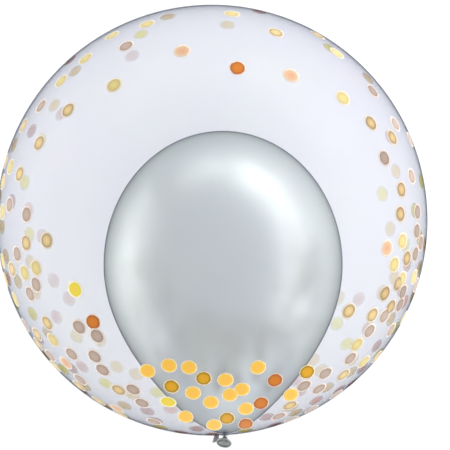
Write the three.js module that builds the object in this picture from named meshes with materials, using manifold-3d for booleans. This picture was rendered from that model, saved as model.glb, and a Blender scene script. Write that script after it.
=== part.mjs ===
import * as THREE from "three";
import { mergeVertices } from "three/addons/utils/BufferGeometryUtils.js";
import Module from "manifold-3d";

// A balloon in a balloon: a clear film bubble with a silver latex balloon standing inside it.
// Millimetres. It lies on its side, as it does when nothing holds it: X across, Y along the
// bubble's axis with the neck towards -Y, Z up. The origin is the middle of the flat spot that
// it lies on. Both balloons are sealed, so both are solid, and the bubble has a pocket that the
// inner balloon fills.

// The film bubble, and the flat spot where it bears on the floor.
const BUBBLE_RADIUS = 254;
const FLAT_SPOT_RADIUS = 36;
const BUBBLE_SECTORS = 56;
const BUBBLE_RINGS = 28;

// The inner balloon: half an ellipse over the crown, and a pear that draws in to the neck.
const LATEX_RADIUS = 141;
const LATEX_CROWN_LENGTH = 158;
const LATEX_PEAR_LENGTH = 199;
const LATEX_TAPER = 0.38; // the share of its radius that the pear has lost at the neck
const LATEX_LEAN = 2.8; // degrees that the crown leans towards +X
const LATEX_SECTORS = 40;
const LATEX_ARC_STEPS = 12;

// The inner balloon's neck, which leaves through the bubble's, and its flared tail.
const NECK_RADIUS = 3.5;
const NECK_INSET = 2; // the pear ends this far inside the bubble's surface
const WAIST_RADIUS = 2.3;
const WAIST_REACH = 3; // from the bubble's surface out to the neck's narrowest point
const TAIL_LENGTH = 8.2;
const TAIL_FLARE = 1.5; // 1 is a cone, and more is a trumpet
const TAIL_WALL = 0.6;
const LIP_RADIUS = 9;
const LIP_BEAD_RADIUS = 0.9;
const LIP_BEAD_SIDES = 8;
const TAIL_TURN_UP = 42; // degrees from the neck's axis towards +Z
const TAIL_TURN_SIDE = 11; // degrees from the neck's axis towards -X
const TAIL_SECTORS = 24;
const TAIL_STEPS = 6;
const KNUCKLE_RINGS = 12;

// The bubble's own neck: a short pleated collar, and the tag of film trimmed off beside it.
const COLLAR_RADIUS = 5.2;
const COLLAR_REACH = 1.5;
const PLEAT_COUNT = 9;
const PLEAT_DEPTH = 0.5;
const PLEAT_STEPS = 4;
const TAG_DISTANCE = 9.8; // from the neck's axis to the middle of the tag's root
const TAG_ROOT_WIDTH = 4.2;
const TAG_WIDTH = 6.8;
const TAG_LENGTH = 9.4;
const TAG_TRIM = 4.2; // how much shorter the slanting cut leaves it on the neck's side
const TAG_THICKNESS = 1.6;
const TAG_SPLAY = 14; // degrees that it leans away from the neck

// Film and latex touch all over in the real thing. This gap parts the two solids.
const FILM_TO_LATEX_GAP = 0.3;

// How deep the collar and the tag run into the ball that they are one with.
const ROOT_DEPTH = 3;

// The ball's centre lies this far above the flat spot.
const CENTRE_HEIGHT = Math.sqrt(BUBBLE_RADIUS ** 2 - FLAT_SPOT_RADIUS ** 2);

// The pear ends, and the neck begins, here on the bubble's axis.
const NECK_ROOT = new THREE.Vector3(0, NECK_INSET - BUBBLE_RADIUS, CENTRE_HEIGHT);

// Corners closer than this are one corner.
const MERGE_DISTANCE = 1e-3;

const wasm = await Module();
wasm.setup();

// A closed geometry as a solid that can be joined and cut.
function solid(geometry, matrix = new THREE.Matrix4()) {
  const bare = geometry.clone().applyMatrix4(matrix);
  bare.deleteAttribute("normal");
  bare.deleteAttribute("uv");
  const merged = mergeVertices(bare, MERGE_DISTANCE);
  return new wasm.Manifold(
    new wasm.Mesh({
      numProp: 3,
      vertProperties: merged.attributes.position.array,
      triVerts: new Uint32Array(merged.index.array),
    }),
  );
}

// A solid as a named mesh with its own material.
function namedMesh(name, body, material) {
  const made = body.getMesh();
  const geometry = new THREE.BufferGeometry();
  geometry.setAttribute("position", new THREE.BufferAttribute(made.vertProperties, 3));
  geometry.setIndex(new THREE.BufferAttribute(made.triVerts, 1));
  geometry.computeVertexNormals();
  const mesh = new THREE.Mesh(geometry, material);
  mesh.name = name;
  return mesh;
}

// A solid of revolution about Y from a profile that runs from its lowest point to its highest.
function turned(profile, sectors) {
  return new THREE.LatheGeometry(profile, sectors);
}

// Points of an outline moved outwards by a distance, square to the chord of their neighbours.
function grown(outline, distance) {
  return outline.map((point, i) => {
    const before = outline[Math.max(i - 1, 0)];
    const after = outline[Math.min(i + 1, outline.length - 1)];
    const along = after.clone().sub(before).normalize();
    const moved = point.clone().add(new THREE.Vector2(along.y, -along.x).multiplyScalar(distance));
    return point.x === 0 ? new THREE.Vector2(0, moved.y) : moved;
  });
}

// The inner balloon's outline from the neck up to the crown, with the neck's root at zero.
function latexOutline() {
  const outline = [];
  const atNeck = Math.acos(NECK_RADIUS / (LATEX_RADIUS * (1 - LATEX_TAPER)));
  for (let i = 0; i <= LATEX_ARC_STEPS; i += 1) {
    const angle = atNeck * (1 - i / LATEX_ARC_STEPS);
    const drawnIn = 1 - LATEX_TAPER * Math.sin(angle) ** 2;
    const radius = LATEX_RADIUS * Math.cos(angle) * drawnIn;
    outline.push(new THREE.Vector2(radius, LATEX_PEAR_LENGTH * (1 - Math.sin(angle))));
  }
  for (let i = 1; i < LATEX_ARC_STEPS; i += 1) {
    const angle = (Math.PI / 2) * (i / LATEX_ARC_STEPS);
    const height = LATEX_PEAR_LENGTH + LATEX_CROWN_LENGTH * Math.sin(angle);
    outline.push(new THREE.Vector2(LATEX_RADIUS * Math.cos(angle), height));
  }
  outline.push(new THREE.Vector2(0, LATEX_PEAR_LENGTH + LATEX_CROWN_LENGTH));
  return outline;
}

// The leaning frame of the inner balloon, with its origin at the neck's root.
function latexFrame() {
  const lean = new THREE.Matrix4().makeRotationZ(-THREE.MathUtils.degToRad(LATEX_LEAN));
  return new THREE.Matrix4().setPosition(NECK_ROOT).multiply(lean);
}

// The pear and its neck, grown by a distance, down to the waist or to a point further out.
function latexBody(distance, neckEnd, endRadius) {
  const profile = [
    new THREE.Vector2(0, -neckEnd),
    new THREE.Vector2(endRadius + distance, -neckEnd),
    ...grown(latexOutline(), distance),
  ];
  return solid(turned(profile, LATEX_SECTORS), latexFrame());
}

// The flared tail: a thin trumpet from the waist to a rolled lip, open at its mouth.
function latexTail() {
  const outside = [];
  const inside = [];
  for (let i = 0; i <= TAIL_STEPS; i += 1) {
    const share = i / TAIL_STEPS;
    const radius = WAIST_RADIUS + (LIP_RADIUS - WAIST_RADIUS) * share ** TAIL_FLARE;
    outside.push(new THREE.Vector2(radius, -TAIL_LENGTH * share));
    inside.push(new THREE.Vector2(radius - TAIL_WALL, -TAIL_LENGTH * share));
  }
  const funnel = inside.slice(1);
  const floor = new THREE.Vector2(0, funnel[0].y);
  const root = new THREE.Vector2(0, 0);
  const horn = solid(turned([floor, ...funnel, ...outside.reverse(), root], TAIL_SECTORS));
  const bead = new THREE.TorusGeometry(
    LIP_RADIUS - LIP_BEAD_RADIUS,
    LIP_BEAD_RADIUS,
    LIP_BEAD_SIDES,
    TAIL_SECTORS,
  );
  const atLip = new THREE.Matrix4().makeTranslation(0, -TAIL_LENGTH, 0);
  atLip.multiply(new THREE.Matrix4().makeRotationX(Math.PI / 2));
  const knuckle = new THREE.SphereGeometry(WAIST_RADIUS, TAIL_SECTORS, KNUCKLE_RINGS);
  const turn = new THREE.Matrix4().makeRotationFromEuler(
    new THREE.Euler(
      -THREE.MathUtils.degToRad(TAIL_TURN_UP),
      0,
      -THREE.MathUtils.degToRad(TAIL_TURN_SIDE),
      "ZXY",
    ),
  );
  const atWaist = latexFrame().multiply(
    new THREE.Matrix4().makeTranslation(0, -(NECK_INSET + WAIST_REACH), 0),
  );
  const tail = horn.add(solid(bead, atLip)).add(solid(knuckle));
  return tail.transform(atWaist.multiply(turn).elements);
}

// The silver balloon, one piece of latex from its crown to the lip of its tail.
function silverBalloon() {
  return latexBody(0, NECK_INSET + WAIST_REACH, WAIST_RADIUS).add(latexTail());
}

// The ball with its flat spot.
function bubbleBall() {
  const centre = new THREE.Matrix4().makeTranslation(0, 0, CENTRE_HEIGHT);
  const ball = solid(new THREE.SphereGeometry(BUBBLE_RADIUS, BUBBLE_SECTORS, BUBBLE_RINGS), centre);
  const width = 2 * BUBBLE_RADIUS;
  const floor = new THREE.BoxGeometry(width, width, width);
  return ball.subtract(solid(floor, new THREE.Matrix4().makeTranslation(0, 0, -BUBBLE_RADIUS)));
}

// The film drawn together round the inner balloon's neck, in pleats.
function bubbleCollar() {
  const outline = new THREE.Shape();
  const points = PLEAT_COUNT * PLEAT_STEPS;
  for (let i = 0; i < points; i += 1) {
    const angle = (2 * Math.PI * i) / points;
    const radius = COLLAR_RADIUS + (PLEAT_DEPTH / 2) * Math.cos(PLEAT_COUNT * angle);
    const corner = [radius * Math.cos(angle), radius * Math.sin(angle)];
    if (i === 0) {
      outline.moveTo(...corner);
    } else {
      outline.lineTo(...corner);
    }
  }
  outline.closePath();
  const depth = ROOT_DEPTH + COLLAR_REACH;
  const ring = new THREE.ExtrudeGeometry(outline, { depth, bevelEnabled: false });
  const place = new THREE.Matrix4().makeTranslation(0, ROOT_DEPTH - BUBBLE_RADIUS, CENTRE_HEIGHT);
  return solid(ring, place.multiply(new THREE.Matrix4().makeRotationX(Math.PI / 2)));
}

// The tag of film left beside the neck, cut off on a slant.
function bubbleTag() {
  const outline = new THREE.Shape();
  outline.moveTo(-TAG_ROOT_WIDTH / 2, ROOT_DEPTH);
  outline.lineTo(-TAG_WIDTH / 2, -TAG_LENGTH);
  outline.lineTo(0, -TAG_LENGTH);
  outline.lineTo(TAG_WIDTH / 2, -(TAG_LENGTH - TAG_TRIM));
  outline.lineTo(TAG_ROOT_WIDTH / 2, ROOT_DEPTH);
  outline.closePath();
  const strip = new THREE.ExtrudeGeometry(outline, { depth: TAG_THICKNESS, bevelEnabled: false });
  strip.translate(0, 0, -TAG_THICKNESS / 2);
  const place = new THREE.Matrix4().makeTranslation(-TAG_DISTANCE, -BUBBLE_RADIUS, CENTRE_HEIGHT);
  const splay = new THREE.Matrix4().makeRotationZ(-THREE.MathUtils.degToRad(TAG_SPLAY));
  return solid(strip, place.multiply(splay));
}

// The clear bubble, with the pocket and the neck hole that the inner balloon fills.
function clearBubble() {
  const pocketEnd = NECK_INSET + COLLAR_REACH + ROOT_DEPTH;
  const pocket = latexBody(FILM_TO_LATEX_GAP, pocketEnd, NECK_RADIUS);
  return bubbleBall().add(bubbleCollar()).add(bubbleTag()).subtract(pocket);
}

const clearFilm = new THREE.MeshStandardMaterial({
  name: "clear film",
  color: 0xe6e8f2,
  roughness: 0.08,
  metalness: 0,
  transparent: true,
  opacity: 0.25,
});

const silverLatex = new THREE.MeshStandardMaterial({
  name: "silver latex",
  color: 0xbcc3c7,
  roughness: 0.42,
  metalness: 0.6,
});

const confettiBalloon = new THREE.Group();
confettiBalloon.add(
  namedMesh("clear_bubble", clearBubble(), clearFilm),
  namedMesh("silver_balloon", silverBalloon(), silverLatex),
);

export default confettiBalloon;
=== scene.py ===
import math
import random

import bpy
from mathutils import Matrix, Vector


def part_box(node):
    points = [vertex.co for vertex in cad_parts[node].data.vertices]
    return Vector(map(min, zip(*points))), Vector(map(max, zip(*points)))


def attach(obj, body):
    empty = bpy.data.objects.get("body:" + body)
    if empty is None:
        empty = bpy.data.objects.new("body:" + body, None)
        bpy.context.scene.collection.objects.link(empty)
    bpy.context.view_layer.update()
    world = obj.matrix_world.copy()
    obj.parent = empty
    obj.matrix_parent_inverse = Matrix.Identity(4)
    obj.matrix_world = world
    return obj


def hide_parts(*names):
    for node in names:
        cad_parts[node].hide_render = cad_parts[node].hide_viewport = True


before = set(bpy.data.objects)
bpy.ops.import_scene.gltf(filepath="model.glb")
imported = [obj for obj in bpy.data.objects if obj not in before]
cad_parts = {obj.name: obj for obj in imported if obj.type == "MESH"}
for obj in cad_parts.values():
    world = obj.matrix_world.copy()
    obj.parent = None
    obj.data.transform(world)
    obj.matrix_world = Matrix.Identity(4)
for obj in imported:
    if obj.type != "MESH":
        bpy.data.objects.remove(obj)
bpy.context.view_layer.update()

# A clear film bubble balloon printed with confetti dots, and a silver latex balloon inside it.
# Metres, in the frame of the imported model: it lies on its flat spot at the origin, with Y along
# the bubble's axis, the neck towards -Y and Z up.

MM = 0.001

# The bubble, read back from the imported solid. The ball touches both ends of the X side.
BUBBLE_LOW, BUBBLE_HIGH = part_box("clear_bubble")
BUBBLE_RADIUS = (BUBBLE_HIGH.x - BUBBLE_LOW.x) / 2
CENTRE = Vector((0, BUBBLE_HIGH.y - BUBBLE_RADIUS, BUBBLE_HIGH.z - BUBBLE_RADIUS))

# The film, its short neck and the gathers that run out from the neck. FILM_PASSED is the share of
# red, green and blue light that passes one wall.
FILM_INSET = 0.3 * MM
FILM_WALL = 1.3 * MM
FILM_PASSED = (0.9445, 0.9464, 0.951)
NECK_WALL = 0.6 * MM
FILM_SECTORS = 288
FILM_RINGS = 132
RING_CLOSING = 1.25
COLLAR_RADIUS = 4.9 * MM
COLLAR_REACH = 1.4 * MM
COLLAR_FLARE = 0.8 * MM
COLLAR_OVERLAP = 0.1 * MM
COLLAR_SHARES = (0.15, 0.5, 1.0)
PLEAT_DEPTH = 0.22 * MM
PLEAT_COUNT = 9
GATHER_REACH = 46 * MM
GATHER_DEPTH = 0.4 * MM
GATHER_COUNT = 26
GATHER_FADE = 3
GATHER_SWAY = 1.3
GATHER_SWAYS = 3

# The inner balloon, with the proportions of its solid. It is less stretched near its neck, and so
# darker, as far as THICK_REACH inside the ball.
LATEX_SECTORS = 128
CROWN_STEPS = 56
PEAR_STEPS = 72
LATEX_RADIUS = 141 * MM
LATEX_CROWN_LENGTH = 158 * MM
LATEX_PEAR_LENGTH = 199 * MM
LATEX_TAPER = 0.38
LATEX_LEAN = math.radians(2.8)
NECK_RADIUS = 3.5 * MM
NECK_INSET = 2 * MM
WAIST_RADIUS = 2.3 * MM
WAIST_REACH = 3 * MM
NECK_STEPS = 8
TAIL_LENGTH = 8.1 * MM
TAIL_FLARE = 1.5
TAIL_WALL = 0.5 * MM
TAIL_STEPS = 14
TAIL_OUTSIDE_SHARE = 0.92
TAIL_INSIDE_SHARE = 0.95
TAIL_BOTTOM = ((0.5 * MM, 1.6 * MM), (-0.1 * MM, 1.4 * MM), (-0.8 * MM, 1.2 * MM))
LIP_RADIUS = 9 * MM
LIP_BEAD_RADIUS = 0.9 * MM
LIP_STEPS = 12
LIP_START_DEGREES = -50
LIP_SWEEP_DEGREES = 280
THICK_REACH = 24 * MM
CLOUD_SHARE = 0.3
TAIL_TURN_UP = math.radians(42)
TAIL_TURN_SIDE = math.radians(11)

# Ripples of the latex: how deep they are as a share of the radius, and how many go round.
ROOT_RIPPLE = 0.012
ROOT_RIPPLE_REACH = 5 * MM
ROOT_RIPPLES = 9
NECK_RIPPLE = 0.07
NECK_RIPPLES = 5
TAIL_RIPPLE = 0.05
TAIL_RIPPLE_END = 1.2
RIPPLE_SWAY = 0.7

# The photograph: a long lens, straight on, 450 pixels square. The ball's outline is a circle of
# 215.9 pixels round the pixel below, and its neck is turned a little to the right.
IMAGE_SIDE = 450
BALL_PIXEL = (212.2, 220.2)
BALL_PIXEL_RADIUS = 215.9
CAMERA_DISTANCE = 2.8
CAMERA_ROLL = math.radians(3.4)
SENSOR = 36
CLIP_END = 20

# Pixels per metre at the depth of the ball's centre, where its outline shows a little large.
OUTLINE_SWELL = 1 / math.sqrt(1 - (BUBBLE_RADIUS / CAMERA_DISTANCE) ** 2)
PIXELS_PER_METRE = BALL_PIXEL_RADIUS / (BUBBLE_RADIUS * OUTLINE_SWELL)


def new_object(name, verts, faces, materials, smooth=True):
    mesh = bpy.data.meshes.new(name)
    mesh.from_pydata([tuple(v) for v in verts], [], faces)
    mesh.validate()
    for material in materials:
        mesh.materials.append(material)
    for polygon in mesh.polygons:
        polygon.use_smooth = smooth
    obj = bpy.data.objects.new(name, mesh)
    bpy.context.scene.collection.objects.link(obj)
    return obj


def revolved(rings):
    """Faces between rings of equal length, closed at each end by a fan to that ring's middle."""
    verts = [v for ring in rings for v in ring]
    count = len(rings[0])
    faces = []
    for r in range(len(rings) - 1):
        for s in range(count):
            t = (s + 1) % count
            a, b = r * count, (r + 1) * count
            faces.append((a + s, a + t, b + t, b + s))
    for end in (0, len(rings) - 1):
        verts.append(sum(rings[end], Vector()) / count)
        a = end * count
        for s in range(count):
            t = (s + 1) % count
            edge = (a + t, a + s) if end == 0 else (a + s, a + t)
            faces.append((*edge, len(verts) - 1))
    return verts, faces


class Shader:
    """A material's node tree, built by short calls."""

    def __init__(self, name):
        self.material = bpy.data.materials.new(name)
        self.material.use_nodes = True
        self.nodes = self.material.node_tree.nodes
        self.links = self.material.node_tree.links
        self.surface = self.nodes["Principled BSDF"]
        self.output = self.nodes["Material Output"]

    def node(self, kind, inputs=None, **settings):
        made = self.nodes.new(kind)
        for key, value in settings.items():
            setattr(made, key, value)
        for key, value in (inputs or {}).items():
            if isinstance(value, bpy.types.NodeSocket):
                self.links.new(value, made.inputs[key])
            else:
                made.inputs[key].default_value = value
        return made

    def set(self, **values):
        for key, value in values.items():
            name = key.replace("_", " ")
            if isinstance(value, bpy.types.NodeSocket):
                self.links.new(value, self.surface.inputs[name])
            else:
                self.surface.inputs[name].default_value = value

    def noise(self, scale, detail):
        where = self.node("ShaderNodeTexCoord").outputs["Object"]
        made = self.node(
            "ShaderNodeTexNoise",
            {"Vector": where, "Scale": scale, "Detail": detail},
        )
        return made.outputs["Fac"]

    def ramp(self, factor, stops):
        made = self.node("ShaderNodeValToRGB", {"Fac": factor})
        elements = made.color_ramp.elements
        while len(elements) < len(stops):
            elements.new(0.5)
        for element, (place, colour) in zip(elements, stops):
            element.position = place
            element.color = (*colour, 1)
        return made.outputs["Color"]

    def between(self, factor, low, high):
        made = self.node(
            "ShaderNodeMapRange",
            {"Value": factor, "To Min": low, "To Max": high},
        )
        return made.outputs["Result"]

    def bump(self, height, strength, distance):
        made = self.node(
            "ShaderNodeBump",
            {"Height": height, "Strength": strength, "Distance": distance},
        )
        self.set(Normal=made.outputs["Normal"])


def linear(red, green, blue):
    """An sRGB colour, 0 to 255, as the linear values that shaders take."""
    def channel(value):
        share = value / 255
        return share / 12.92 if share <= 0.04045 else ((share + 0.055) / 1.055) ** 2.4
    return tuple(channel(v) for v in (red, green, blue))


def absorb(shader, passed, thickness):
    """Tints the light that goes through: a share of each colour passes a sheet this thick."""
    depths = [-math.log(share) / thickness for share in passed]
    density = max(depths)
    colour = [1 - depth / density for depth in depths]
    absorption = shader.node(
        "ShaderNodeVolumeAbsorption", {"Color": (*colour, 1), "Density": density}
    )
    shader.links.new(absorption.outputs["Volume"], shader.output.inputs["Volume"])


def film_material():
    """Clear stretch film: a plain low alpha, and a lavender tint that builds up along the wall."""
    shader = Shader("clear_film")
    tint = shader.ramp(
        shader.noise(9, detail=3),
        [
            (0.3, (0.60, 0.48, 0.90)),
            (0.45, (0.44, 0.52, 0.94)),
            (0.55, (0.52, 0.56, 0.90)),
            (0.7, (0.50, 0.68, 0.76)),
        ],
    )
    shader.set(
        Base_Color=tint,
        Roughness=0.06,
        IOR=1.48,
        Alpha=0.04,
        Specular_IOR_Level=1.0,
    )
    absorb(shader, FILM_PASSED, FILM_WALL)
    return shader.material


def tag_material():
    """Film gathered in many layers, so its tint has turned a purple grey."""
    shader = Shader("gathered_film")
    folds = shader.node(
        "ShaderNodeTexWave",
        {
            "Vector": shader.node("ShaderNodeTexCoord").outputs["Object"],
            "Scale": 260.0,
            "Distortion": 3.0,
            "Detail": 2.0,
        },
        wave_type="BANDS",
        bands_direction="X",
    )
    # The colour follows the fine folds: darker in their hollows and lighter on their crests, painted
    # shade.
    colour = shader.ramp(
        folds.outputs["Fac"],
        [(0.0, linear(116, 107, 121)), (0.55, linear(152, 143, 157)), (1.0, linear(184, 176, 188))],
    )
    shader.set(Base_Color=colour, Roughness=0.3, IOR=1.48)
    shader.bump(folds.outputs["Fac"], 0.5, 0.2 * MM)
    return shader.material


def latex_material():
    """Pearl silver latex: fine metallic flakes in a satin skin, darker where it isn't stretched.

    The outer coat has a tint and no gloss of its own: it darkens the light that leaves at a slant."""
    shader = Shader("silver_latex")
    flakes = shader.noise(1500, detail=1)
    cloud = shader.between(shader.noise(9, detail=3), 0, CLOUD_SHARE)
    place = shader.node("ShaderNodeTexCoord").outputs["Object"]
    along = shader.node("ShaderNodeSeparateXYZ", {"Vector": place}).outputs["Y"]
    neck = CENTRE.y - BUBBLE_RADIUS
    stretched = shader.node(
        "ShaderNodeMapRange",
        {
            "Value": along,
            "From Min": neck - COLLAR_REACH - TAIL_LENGTH,
            "From Max": neck + THICK_REACH,
            "To Max": 1 - CLOUD_SHARE,
        },
    )
    thin = shader.node(
        "ShaderNodeMath",
        {0: stretched.outputs["Result"], 1: cloud},
        operation="ADD",
    )
    colour = shader.ramp(
        thin.outputs["Value"],
        [
            (0.2, linear(163, 169, 168)),
            (0.3, linear(209, 214, 212)),
            (0.78, linear(216, 222, 221)),
            (0.92, linear(222, 228, 226)),
        ],
    )
    shader.set(
        Base_Color=colour,
        Metallic=0.92,
        Roughness=shader.between(flakes, 0.38, 0.46),
        IOR=1.52,
        Coat_Weight=1.0,
        Coat_Roughness=0.5,
        Coat_IOR=1.0,
        Coat_Tint=(0.86, 0.865, 0.86, 1),
    )
    shader.bump(flakes, 0.06, 0.05 * MM)
    return shader.material


def dot_material(name, alpha, passed, outline, middle, face, ring, halo):
    """Print with a mottled middle, a darker ring near its edge and a pale outline round it.

    The dot's own radius is kept in a mesh attribute: 0 in the middle and 1 at the edge. The
    outline is the radius where the pale edge starts."""
    shader = Shader(name)
    radius = shader.node("ShaderNodeAttribute", attribute_name="dot_radius").outputs["Fac"]
    mottled = shader.noise(420, detail=2)
    wobble = shader.between(mottled, -0.12, 0.12)
    where = shader.node("ShaderNodeMath", {0: radius, 1: wobble}, operation="ADD")
    colour = shader.ramp(
        where.outputs["Value"],
        [
            (0.2, middle),
            (0.6 * outline, face),
            (0.84 * outline, ring),
            (0.93 * outline, ring),
            (outline, halo),
        ],
    )
    shader.set(
        Base_Color=colour,
        Roughness=shader.between(mottled, 0.4, 0.55),
        Specular_IOR_Level=0.2,
        Alpha=alpha,
    )
    shader.bump(mottled, 0.1, 0.1 * MM)
    if passed:
        absorb(shader, passed, DOT_THICKNESS)
    return shader.material


# Print colours, each as the middle, the face, the ring near the edge and the pale outline.
PRINT = {
    "marigold": ((238, 180, 76), (236, 186, 62), (234, 190, 84), (244, 226, 190)),
    "amber": ((212, 152, 0), (203, 154, 0), (156, 116, 24), (244, 224, 178)),
    "orange": ((200, 112, 10), (192, 112, 22), (166, 88, 34), (230, 206, 182)),
    "citron": ((230, 196, 80), (224, 206, 50), (218, 200, 66), (240, 232, 200)),
    "lemon": ((204, 190, 122), (200, 182, 122), (188, 169, 112), (218, 208, 188)),
    "sand": ((212, 186, 130), (198, 172, 120), (160, 138, 100), (218, 206, 190)),
    "peach": ((206, 156, 122), (206, 166, 134), (202, 174, 142), (222, 208, 194)),
    "taupe": ((175, 155, 142), (169, 150, 137), (153, 133, 120), (224, 210, 202)),
    # The next two colours are darker copies of sand and taupe, for the dots mostly round the right
    # edge: painted shade.
    "shaded_sand": ((194, 164, 112), (172, 146, 100), (134, 113, 82), (206, 190, 170)),
    "shaded_taupe": ((150, 131, 118), (144, 126, 114), (130, 112, 102), (206, 188, 178)),
}

# The inner face of the opaque print: how much lighter it is painted than its outside, painted light
# that offsets the shade on the inner face, and how far its mottling goes towards white.
BACK_PAINTED_LIGHT = 1.25
BACK_MOTTLE = 0.12

# How much red, green and blue light passes the middle of a thinly printed dot.
THIN_PRINT = {
    "lemon": (0.995, 0.98, 0.76),
    "sand": (0.99, 0.945, 0.83),
    "peach": (0.99, 0.9, 0.86),
    "taupe": (0.965, 0.9, 0.88),
}

# Dots that the photograph shows plainly on the near side, by its pixels.
PHOTO_DOTS = {
    "taupe": [
        (126, 46), (41, 106), (26.5, 214.5), (36, 284.5), (30, 294), (97, 336),
        (94.5, 356.5), (102.5, 370), (71.5, 354), (133, 389.5), (369.5, 331),
        (391, 330), (350.5, 358.5), (304, 386), (319, 389), (17, 254),
        (142, 403), (79, 327), (384.5, 316),
    ],
    # The next two lists are dots mostly round the right edge, printed in the darker copies of taupe
    # and sand: painted shade.
    "shaded_taupe": [
        (373, 91), (384.5, 158), (417.6, 212), (417, 231), (421, 243), (415.5, 254),
        (403, 292), (400, 305),
    ],
    "shaded_sand": [
        (371, 123), (392.5, 137.5), (401.5, 189.5), (400.5, 214), (407, 258.4), (398, 283.6),
        (385, 293.5), (391, 306.7), (318, 35),
    ],
    "sand": [
        (68, 110), (39, 143), (46.7, 240.5), (26, 243), (349, 311), (372.5, 315),
        (343.5, 375), (118.5, 390), (47, 323), (19.5, 174),
    ],
    "lemon": [
        (61, 81), (85.5, 58.5), (112, 35.5), (147, 24), (337, 53), (343, 98),
        (402.5, 241), (24.5, 273), (36, 268), (114, 85), (357, 344.5), (402, 279), (53, 340),
    ],
    "peach": [(182, 51), (291, 75.5)],
    "citron": [(75, 289.5), (168, 402)],
    "marigold": [
        (147.5, 371), (169, 365.5), (189, 367.5), (258, 367.5), (225.5, 380), (193, 393),
        (211, 402.5), (230, 395), (242, 389.5), (246, 409), (214, 425.5), (185.5, 417),
        (291, 395),
    ],
    "orange": [(237.5, 68), (275, 380.4), (261, 403.3), (245.7, 424.4), (93, 322)],
    "amber": [(203.6, 378.5), (171.5, 386.6), (227, 418.7), (307.2, 372.2)],
}

# Dots at the bottom of the front, printed long enough to look nearly round from there. The
# outline is the share of a dot's radius where its pale edge starts.
ROUND_DOTS = ("marigold", "amber", "orange")
ROUND_SHARE = 0.9
LONGEST_STRETCH = 3.0
ROUND_DIAMETER = 18.2 * MM
ROUND_OUTLINE = 0.93

# The other dots.
DOT_DIAMETER = 21 * MM
DOT_OUTLINE = 0.84

# The print is thinner towards the far side: each side's name, its lowest and highest place in
# ball radii above the centre, and how well the ink covers.
SIDES = (("near", 0.0, 1.0, 1.0), ("middle", -0.3, 0.0, 0.13), ("far", -1.0, -0.3, 0.05))
EDGE_DOT_SHARE = 0.9
DOT_LIFT = 0.06 * MM
DOT_THICKNESS = 0.1 * MM
DOT_SIDES = 32
DOT_RINGS = 4
THIN_DOME = 0.9
NEARLY_NOTHING = 0.01

# The rest of the print is strewn at random, in these shares of the colours.
STREWN_DOTS = 165
STREWN_COLOURS = {"sand": 0.36, "lemon": 0.22, "taupe": 0.36, "peach": 0.06}
DOT_SPACING = 0.62
MOST_TRIES = 20000
SEED = 11

# Where no dot is strewn, in ball radii from the centre: below the first, beside the neck on the
# near side, and on the near side right at the edge.
UNDERSIDE = -0.9
NECK_SIDE = -0.93
NEAR_EDGE = 0.16

# How thickly the dots are strewn. Each range is where the print starts and where it is full, along
# Y or away from the middle in ball radii.
LOW_RANGE = (0.35, -0.6)
CROWN_RANGE = (0.2, 0.6)
CROWN_THINNING = 0.85
EDGE_RANGE = (0.74, 0.93)
EDGE_WEIGHT = 0.4
EDGE_HIGH_SHARE = 0.3
FAR_EDGE_RANGE = (0.66, 0.85)
FAR_EDGE_WEIGHT = 0.3
FAR_EDGE_HIGH_SHARE = 0.2
FAR_LOW_RANGE = (-0.5, -0.78)
FAR_LOW_WEIGHT = 0.6

# The floor, a little below the part.
FLOOR_HALF = 4.0
FLOOR_STEPS = 8
FLOOR_DROP = 0.4 * MM

# The light all round, and how many surfaces a ray may pass or meet.
WORLD_STRENGTH = 0.97
TRANSPARENT_BOUNCES = 32
LIGHT_BOUNCES = 12


def ball_point(direction, inset=0.0):
    """The point of the film in a direction from the ball's centre, pressed flat on the floor."""
    point = CENTRE + direction.normalized() * (BUBBLE_RADIUS - inset)
    point.z = max(point.z, inset - FILM_INSET)
    return point


def film_ring(angle, inset):
    """One ring of the ball, at an angle from its crown, drawn into gathers near the neck."""
    ring = []
    from_neck = (math.pi - angle) * BUBBLE_RADIUS
    fade = math.exp(-GATHER_FADE * from_neck / GATHER_REACH)
    for s in range(FILM_SECTORS):
        turn = 2 * math.pi * s / FILM_SECTORS
        sway = GATHER_SWAY * math.sin(GATHER_SWAYS * turn)
        fold = 0.5 + 0.5 * math.cos(GATHER_COUNT * turn + sway)
        direction = Vector(
            (math.sin(angle) * math.cos(turn), math.cos(angle), math.sin(angle) * math.sin(turn))
        )
        ring.append(ball_point(direction, inset + GATHER_DEPTH * fade * fold))
    return ring


def collar_ring(radius, reach):
    """One ring of the film's short neck, pleated round the latex neck."""
    ring = []
    for s in range(FILM_SECTORS):
        turn = 2 * math.pi * s / FILM_SECTORS
        pleat = radius + PLEAT_DEPTH * math.cos(PLEAT_COUNT * turn)
        offset = Vector((pleat * math.cos(turn), -BUBBLE_RADIUS - reach, pleat * math.sin(turn)))
        ring.append(CENTRE + offset)
    return ring


def film_side(inset, collar_radius):
    """The rings of one face of the film, from the crown to the end of its neck."""
    last = math.pi - math.asin((collar_radius + COLLAR_FLARE) / BUBBLE_RADIUS)
    rings = []
    for i in range(1, FILM_RINGS + 1):
        share = i / FILM_RINGS
        # Rings close up towards the neck, where the gathers are.
        angle = last * (1 - (1 - share) ** RING_CLOSING)
        rings.append(film_ring(angle, inset))
    for share in COLLAR_SHARES:
        rings.append(collar_ring(collar_radius, COLLAR_REACH * share - COLLAR_OVERLAP))
    return rings


def make_film():
    outside = film_side(FILM_INSET, COLLAR_RADIUS)
    inside = film_side(FILM_INSET + FILM_WALL, COLLAR_RADIUS - NECK_WALL)
    verts, faces = revolved(outside + inside[::-1])
    return new_object("bubble_film", verts, faces, [film_material()])


def neck_root():
    return CENTRE + Vector((0, NECK_INSET - BUBBLE_RADIUS, 0))


def latex_axis():
    """The way from the neck's root to the crown."""
    return Vector((math.sin(LATEX_LEAN), math.cos(LATEX_LEAN), 0))


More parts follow.
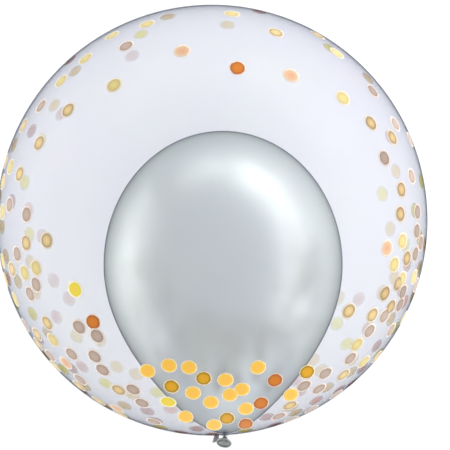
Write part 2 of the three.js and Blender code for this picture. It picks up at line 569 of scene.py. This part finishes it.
def tail_axis():
    """The way out along the turned tail, from the waist to its mouth."""
    out = Vector((0, -1, 0))
    out.rotate(Matrix.Rotation(-TAIL_TURN_UP, 3, "X"))
    out.rotate(Matrix.Rotation(-TAIL_TURN_SIDE, 3, "Z"))
    out.rotate(Matrix.Rotation(-LATEX_LEAN, 3, "Z"))
    return out


def pear_profile():
    """(height above the neck's root, radius) pairs of the inner balloon, from crown to neck."""
    profile = []
    for i in range(1, CROWN_STEPS + 1):
        angle = math.pi / 2 * (1 - i / CROWN_STEPS)
        height = LATEX_PEAR_LENGTH + LATEX_CROWN_LENGTH * math.sin(angle)
        profile.append((height, LATEX_RADIUS * math.cos(angle)))
    at_neck = math.acos(NECK_RADIUS / (LATEX_RADIUS * (1 - LATEX_TAPER)))
    for i in range(1, PEAR_STEPS + 1):
        angle = at_neck * i / PEAR_STEPS
        radius = LATEX_RADIUS * math.cos(angle) * (1 - LATEX_TAPER * math.sin(angle) ** 2)
        profile.append((LATEX_PEAR_LENGTH * (1 - math.sin(angle)), radius))
    return profile


def trumpet_radius(share):
    """The outer radius of the tail at a share of its length."""
    return WAIST_RADIUS + (LIP_RADIUS - WAIST_RADIUS) * share**TAIL_FLARE


def tail_profile():
    """(distance from the waist, radius) pairs: outside of the trumpet, its lip, then its inside."""
    profile = []
    for i in range(1, TAIL_STEPS):
        share = i / TAIL_STEPS * TAIL_OUTSIDE_SHARE
        profile.append((TAIL_LENGTH * share, trumpet_radius(share)))
    for i in range(LIP_STEPS + 1):
        turn = math.radians(LIP_START_DEGREES + LIP_SWEEP_DEGREES * i / LIP_STEPS)
        distance = TAIL_LENGTH + LIP_BEAD_RADIUS * math.sin(turn)
        radius = LIP_RADIUS - LIP_BEAD_RADIUS + LIP_BEAD_RADIUS * math.cos(turn)
        profile.append((distance, radius))
    for i in range(TAIL_STEPS - 2, 1, -1):
        share = i / TAIL_STEPS * TAIL_INSIDE_SHARE
        profile.append((TAIL_LENGTH * share, trumpet_radius(share) - TAIL_WALL))
    profile += TAIL_BOTTOM
    return profile


def hoop(middle, axis, radius, ripple, ripples):
    """A ring of points round an axis, its radius rippled by a share."""
    across = (Vector((1, 0, 0)) - axis * axis.x).normalized()
    up = axis.cross(across)
    ring = []
    for s in range(LATEX_SECTORS):
        turn = 2 * math.pi * s / LATEX_SECTORS
        wave = 1 + ripple * math.cos(ripples * turn + RIPPLE_SWAY * math.sin(2 * turn))
        ring.append(middle + (across * math.cos(turn) + up * math.sin(turn)) * radius * wave)
    return ring


def make_latex():
    root, axis, out = neck_root(), latex_axis(), tail_axis()
    rings = []
    for height, radius in pear_profile():
        ripple = ROOT_RIPPLE * math.exp(-height / ROOT_RIPPLE_REACH)
        rings.append(hoop(root + axis * height, -axis, radius, ripple, ROOT_RIPPLES))
    neck_length = NECK_INSET + WAIST_REACH
    for i in range(1, NECK_STEPS + 1):
        share = i / NECK_STEPS
        radius = NECK_RADIUS + (WAIST_RADIUS - NECK_RADIUS) * (3 * share**2 - 2 * share**3)
        middle = root - axis * neck_length * share
        bend = max(0.0, share - 0.5)
        way = (-axis).lerp(out, bend).normalized()
        rings.append(hoop(middle, way, radius, NECK_RIPPLE, NECK_RIPPLES))
    waist = root - axis * neck_length
    for distance, radius in tail_profile():
        ripple = TAIL_RIPPLE * (1 - distance / TAIL_LENGTH / TAIL_RIPPLE_END)
        rings.append(hoop(waist + out * distance, out, radius, ripple, NECK_RIPPLES))
    verts, faces = revolved(rings)
    return new_object("silver_latex_balloon", verts, faces, [latex_material()])


def make_tag():
    """The trimmed tag of gathered film: a pleated strip with a slanting end that curls."""
    columns, rows = 25, 22
    width_root, width_end = 4.6 * MM, 7.2 * MM
    length, trim, root = 9.3 * MM, 4.2 * MM, 1.6 * MM
    half_wall, pleat_depth, curl_depth = 0.22 * MM, 0.42 * MM, 6.6 * MM
    pleats, pleat_shift, pleat_loss = 5, 0.8, 0.4
    slant, curl_start, aside = 1.4, 0.6, 9.8 * MM
    splay = Matrix.Rotation(-math.radians(14), 3, "Z")
    start = CENTRE + Vector((-aside, -BUBBLE_RADIUS, 0))

    def sheet_point(column, row, side):
        u, v = column / (columns - 1), row / (rows - 1)
        width = width_root + (width_end - width_root) * v
        reach = length - trim * max(0.0, 1 - slant * (1 - u))
        phase = pleats * math.pi * u + pleat_shift * v
        pleat = pleat_depth * math.cos(phase) * (1 - pleat_loss * v)
        curl = -curl_depth * max(0.0, v - curl_start) ** 2 * (1 - u)
        local = Vector(((u - 0.5) * width, root - (root + reach) * v, pleat + curl + side))
        return start + splay @ local

    verts, faces = [], []
    for side in (half_wall, -half_wall):
        for row in range(rows):
            for column in range(columns):
                verts.append(sheet_point(column, row, side))
    half = columns * rows
    for row in range(rows - 1):
        for column in range(columns - 1):
            a = row * columns + column
            quad = (a, a + 1, a + columns + 1, a + columns)
            faces.append(quad)
            faces.append(tuple(half + i for i in reversed(quad)))
    edge = list(range(columns))
    edge += [r * columns + columns - 1 for r in range(1, rows)]
    edge += [(rows - 1) * columns + c for c in range(columns - 2, -1, -1)]
    edge += [r * columns for r in range(rows - 2, 0, -1)]
    for a, b in zip(edge, edge[1:] + edge[:1]):
        faces.append((b, a, a + half, b + half))
    return new_object("film_neck_tag", verts, faces, [tag_material()])


def camera_place():
    """The camera's place and its right and up, looking straight down with a little roll."""
    right = Vector((math.cos(CAMERA_ROLL), -math.sin(CAMERA_ROLL), 0))
    up = Vector((math.sin(CAMERA_ROLL), math.cos(CAMERA_ROLL), 0))
    middle = IMAGE_SIDE / 2
    aside = (middle - BALL_PIXEL[0]) / PIXELS_PER_METRE
    below = (middle - BALL_PIXEL[1]) / PIXELS_PER_METRE
    place = CENTRE + right * aside - up * below + Vector((0, 0, CAMERA_DISTANCE))
    return place, right, up


def near_point(pixel):
    """The direction from the ball's centre to the near side of the film at a photograph's pixel."""
    place, right, up = camera_place()
    middle = IMAGE_SIDE / 2
    ray = (
        right * (pixel[0] - middle) / PIXELS_PER_METRE
        - up * (pixel[1] - middle) / PIXELS_PER_METRE
        - Vector((0, 0, CAMERA_DISTANCE))
    ).normalized()
    start = place - CENTRE
    along = start.dot(ray)
    inside = along**2 - start.length_squared + (BUBBLE_RADIUS - FILM_INSET) ** 2
    distance = -along - math.sqrt(max(inside, 0.0))
    return (start + ray * distance).normalized()


def make_camera():
    place, right, up = camera_place()
    data = bpy.data.cameras.new("camera")
    data.sensor_width = SENSOR
    data.lens = SENSOR * CAMERA_DISTANCE * PIXELS_PER_METRE / IMAGE_SIDE
    data.clip_end = CLIP_END
    camera = bpy.data.objects.new("camera", data)
    back = right.cross(up)
    camera.matrix_world = Matrix.Translation(place) @ Matrix(
        (
            (right.x, up.x, back.x, 0),
            (right.y, up.y, back.y, 0),
            (right.z, up.z, back.z, 0),
            (0, 0, 0, 1),
        )
    )
    bpy.context.scene.collection.objects.link(camera)
    bpy.context.scene.camera = camera


def smooth_step(low, high, value):
    share = min(max((value - low) / (high - low), 0.0), 1.0)
    return share * share * (3 - 2 * share)


def strewn_weight(direction):
    """How likely a dot is to lie in a direction: most round the edge and low down.

    None lies on the near side beside the neck or right at its edge, nor underneath."""
    if direction.z < UNDERSIDE or (direction.z > 0 and direction.y < NECK_SIDE):
        return 0
    if 0 <= direction.z < NEAR_EDGE:
        return 0
    edge = math.hypot(direction.x, direction.y)
    low = smooth_step(*LOW_RANGE, direction.y)
    crown = 1 - CROWN_THINNING * smooth_step(*CROWN_RANGE, direction.y)
    near_share = EDGE_HIGH_SHARE + (1 - EDGE_HIGH_SHARE) * low
    weight = EDGE_WEIGHT * smooth_step(*EDGE_RANGE, edge) * near_share * crown
    if direction.z < 0:
        far_share = FAR_EDGE_HIGH_SHARE + (1 - FAR_EDGE_HIGH_SHARE) * low
        far_edge = FAR_EDGE_WEIGHT * smooth_step(*FAR_EDGE_RANGE, edge) * far_share * crown
        far_low = FAR_LOW_WEIGHT * smooth_step(*FAR_LOW_RANGE, direction.y)
        weight = max(weight, far_low, far_edge)
    return weight


def strew_dots():
    """(colour, direction) pairs: the dots that the photograph shows, then random ones."""
    dots = []
    for colour, pixels in PHOTO_DOTS.items():
        for pixel in pixels:
            dots.append((colour, near_point(pixel)))
    names = list(STREWN_COLOURS)
    weights = list(STREWN_COLOURS.values())
    draw = random.Random(SEED)
    gap = DOT_SPACING * 2 * DOT_DIAMETER / BUBBLE_RADIUS
    wanted = len(dots) + STREWN_DOTS
    for attempt in range(MOST_TRIES):
        if len(dots) >= wanted:
            break
        direction = Vector([draw.gauss(0, 1) for axis in range(3)]).normalized()
        chance = draw.random()
        colour = draw.choices(names, weights)[0]
        if chance > strewn_weight(direction):
            continue
        if any((direction - other).length < gap for taken, other in dots):
            continue
        dots.append((colour, direction))
    return dots


def dot_axes(direction, look_round):
    """The two half widths of a dot as vectors: the print stretches away from the near middle."""
    pole = Vector((0, 0, 1 if direction.z >= 0 else -1))
    from_pole = math.acos(min(1.0, direction.dot(pole)))
    size = DOT_DIAMETER * (1 + (EDGE_DOT_SHARE - 1) * from_pole / (math.pi / 2))
    stretch = from_pole / math.sin(from_pole) if from_pole > NEARLY_NOTHING else 1.0
    if look_round and from_pole < math.pi / 2:
        size = ROUND_DIAMETER
        stretch = max(1.0, min(ROUND_SHARE / math.cos(from_pole), LONGEST_STRETCH))
    along = direction.cross(pole)
    if along.length < NEARLY_NOTHING:
        along = Vector((1, 0, 0))
    along.normalize()
    away = along.cross(direction).normalized()
    return away * size * stretch / 2, along * size / 2


def dot_mesh(direction, look_round, thin, verts, faces, slots, radii):
    """Adds one dot, a thin closed disc that follows the film, to the lists.

    A thinly printed dot is domed, so that it fades out towards its edge."""
    away, along = dot_axes(direction, look_round)
    first = len(verts)

    def point(share, turn, lift):
        offset = (away * math.cos(turn) + along * math.sin(turn)) * share
        aim = direction + offset / BUBBLE_RADIUS
        return ball_point(aim, FILM_INSET - lift)

    verts.append(point(0, 0, DOT_LIFT + DOT_THICKNESS))
    radii.append(0.0)
    layers = []
    for i in range(DOT_RINGS):
        share = (i + 1) / DOT_RINGS
        height = DOT_THICKNESS * (1 - THIN_DOME * share**2 if thin else 1)
        layers.append((share, DOT_LIFT + height))
    layers.append((1.0, DOT_LIFT))
    for share, lift in layers:
        for s in range(DOT_SIDES):
            verts.append(point(share, 2 * math.pi * s / DOT_SIDES, lift))
            radii.append(share)
    verts.append(point(0, 0, DOT_LIFT))
    radii.append(0.0)
    last = len(verts) - 1
    for s in range(DOT_SIDES):
        t = (s + 1) % DOT_SIDES
        faces.append((first, first + 1 + s, first + 1 + t))
        slots.append(0)
        for layer in range(len(layers) - 1):
            a = first + 1 + layer * DOT_SIDES
            b = a + DOT_SIDES
            faces.append((a + s, b + s, b + t, a + t))
            slots.append(0)
        c = first + 1 + (len(layers) - 1) * DOT_SIDES
        faces.append((c + t, c + s, last))
        slots.append(1)


def back_material(name, colour):
    """The inner face of the print, with faint mottling.

    A round dot's is as pale as its outline, and any other a little lighter than its outside: painted
    light that offsets the shade on the inner face."""
    face, halo = PRINT[colour][1], PRINT[colour][3]
    # Painted light: the inner face is made lighter than the print to offset the shade it lies in.
    lighter = [min(255, BACK_PAINTED_LIGHT * value) for value in face]
    tone = linear(*(halo if colour in ROUND_DOTS else lighter))
    shader = Shader(name)
    mottled = shader.noise(300, detail=2)
    pale = tuple(v + (1 - v) * BACK_MOTTLE for v in tone)
    shader.set(Base_Color=shader.ramp(mottled, [(0.3, tone), (0.7, pale)]), Roughness=0.6)
    return shader.material


def make_dots():
    """One object for each colour of the print and each side that it lies on."""
    dots = strew_dots()
    made = []
    for colour, tones in PRINT.items():
        outline = ROUND_OUTLINE if colour in ROUND_DOTS else DOT_OUTLINE
        for place, low, high, cover in SIDES:
            thin = place != "near"
            chosen = [
                direction
                for name, direction in dots
                if name == colour and low <= direction.z < high
            ]
            if not chosen:
                continue
            verts, faces, slots, radii = [], [], [], []
            for direction in chosen:
                dot_mesh(direction, colour in ROUND_DOTS, thin, verts, faces, slots, radii)
            label = place + "_" + colour
            face_tones = [linear(*tone) for tone in tones]
            passed = THIN_PRINT[colour] if thin else None
            materials = [dot_material("print_" + label, cover, passed, outline, *face_tones)]
            if not thin:
                materials.append(back_material("print_back_" + label, colour))
            piece = new_object("confetti_dots_" + label, verts, faces, materials)
            for polygon, slot in zip(piece.data.polygons, slots):
                polygon.material_index = 0 if thin else slot
            attribute = piece.data.attributes.new("dot_radius", "FLOAT", "POINT")
            attribute.data.foreach_set("value", radii)
            made.append(piece)
    return made


def floor_material():
    shader = Shader("pale_floor")
    cloud = shader.noise(1.5, detail=2)
    shader.set(
        Base_Color=shader.ramp(cloud, [(0.3, (0.81, 0.81, 0.81)), (0.7, (0.83, 0.83, 0.83))]),
        Roughness=0.8,
        Specular_IOR_Level=0.2,
    )
    return shader.material


def make_floor():
    places = [FLOOR_HALF * (2 * i / FLOOR_STEPS - 1) for i in range(FLOOR_STEPS + 1)]
    verts = [Vector((x, y, -FLOOR_DROP)) for y in places for x in places]
    row = len(places)
    faces = []
    for j in range(FLOOR_STEPS):
        for i in range(FLOOR_STEPS):
            a = j * row + i
            faces.append((a, a + 1, a + row + 1, a + row))
    return new_object("floor", verts, faces, [floor_material()], smooth=False)


def area_light(name, place, aim, width, height, energy):
    data = bpy.data.lights.new(name, "AREA")
    data.energy = energy
    data.shape = "RECTANGLE"
    data.size = width
    data.size_y = height
    light = bpy.data.objects.new(name, data)
    light.location = place
    light.rotation_euler = (Vector(place) - Vector(aim)).to_track_quat("Z", "Y").to_euler()
    light.visible_camera = False
    bpy.context.scene.collection.objects.link(light)


def make_lights():
    target = tuple(CENTRE)
    area_light("high_right", (0.75, 0.9, 0.5), target, width=1.0, height=0.6, energy=4.6)
    area_light("right_softbox", (1.0, -0.1, 0.52), target, width=1.6, height=0.8, energy=5.2)
    area_light("left_softbox", (-1.0, -0.05, 0.14), target, width=1.8, height=0.4, energy=4.0)
    for name, side, energy in (("right_floor_panel", 1, 3.0), ("left_floor_panel", -1, 3.8)):
        place, below = (0.8 * side, -0.1, 0.45), (0.8 * side, -0.1, 0)
        area_light(name, place, below, width=0.3, height=1.3, energy=energy)
    area_light("top_softbox", (-0.1, 1.3, 0.4), target, width=1.3, height=0.5, energy=2.8)
    area_light("neck_softbox", (0.2, -1.3, 0.4), target, width=1.2, height=0.5, energy=2.0)
    world = bpy.data.worlds.new("studio")
    bpy.context.scene.world = world
    world.use_nodes = True
    background = world.node_tree.nodes["Background"]
    background.inputs["Color"].default_value = (1, 1, 1, 1)
    background.inputs["Strength"].default_value = WORLD_STRENGTH


def set_view():
    scene = bpy.context.scene
    scene.view_settings.view_transform = "Standard"
    scene.view_settings.look = "None"
    scene.cycles.transparent_max_bounces = TRANSPARENT_BOUNCES
    scene.cycles.max_bounces = LIGHT_BOUNCES


make_camera()
film = make_film()
latex = make_latex()
tag = make_tag()
dots = make_dots()
floor = make_floor()
make_lights()
set_view()

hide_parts("clear_bubble")
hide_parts("clear_bubble")
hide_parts("silver_balloon")
for piece in [film, latex, tag, *dots]:
    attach(piece, "root")
